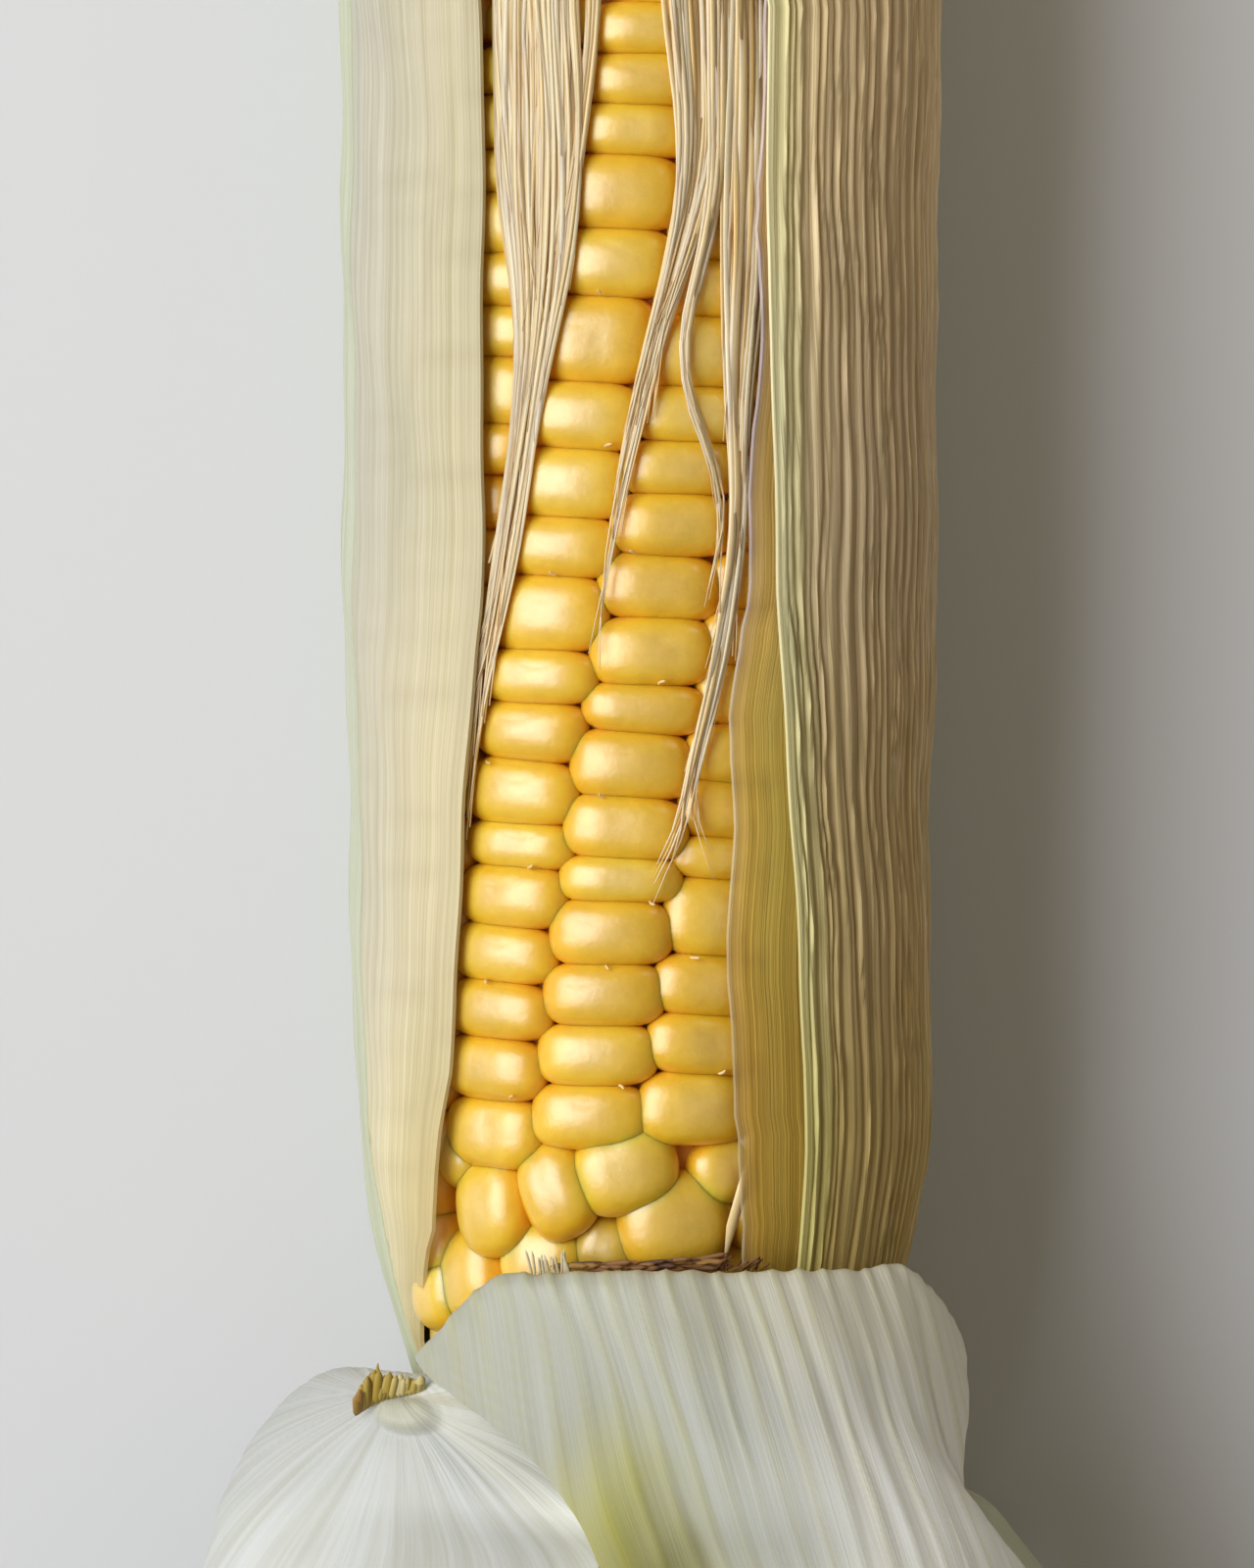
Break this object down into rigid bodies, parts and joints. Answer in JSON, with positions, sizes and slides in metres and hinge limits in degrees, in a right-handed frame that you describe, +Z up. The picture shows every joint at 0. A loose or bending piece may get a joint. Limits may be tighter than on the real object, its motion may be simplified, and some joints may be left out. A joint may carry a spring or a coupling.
{
  "type": "ear of sweet corn",
  "caption": "Fresh ear of sweet corn lying on its back, with yellow kernels, pale silk, and a husk peeled open over the kernels and folded back at the butt.",
  "frame": {"origin": "on the surface the ear lies on, under the middle of the flat spot of the husk that it rests on, on the cob's axis seen from above, 90 mm from the cob's butt towards its tip", "axes": "+Y along the cob from its butt towards its tip, +Z up, +X to the side where the pleated husk leaf is"},
  "size_m": [0.1174, 0.3614, 0.0499],
  "materials": {
    "kernel": "glossy, waxy, a little translucent",
    "husk_cream": "satin, finely veined",
    "husk_tan": "matte, ridged lengthwise",
    "husk_green": "matte, finely veined",
    "husk_pale": "satin, ribbed lengthwise",
    "silk": "silky strands",
    "shank": "satin, fibrous where cut"
  },
  "bodies": {
    "root": {"cob_with_kernels": "kernel", "shank": "shank", "husk_left_inner": "husk_cream", "husk_right_inner": "husk_cream", "husk_right_pleated": "husk_tan", "husk_left_outer": "husk_green", "husk_back": "husk_green", "husk_peeled_front": "husk_pale", "husk_peeled_left": "husk_pale", "husk_peeled_right": "husk_green", "silk_left_lock": "silk", "silk_middle_lock": "silk", "silk_right_lock": "silk", "silk_tuft": "silk"}
  },
  "joints": []
}
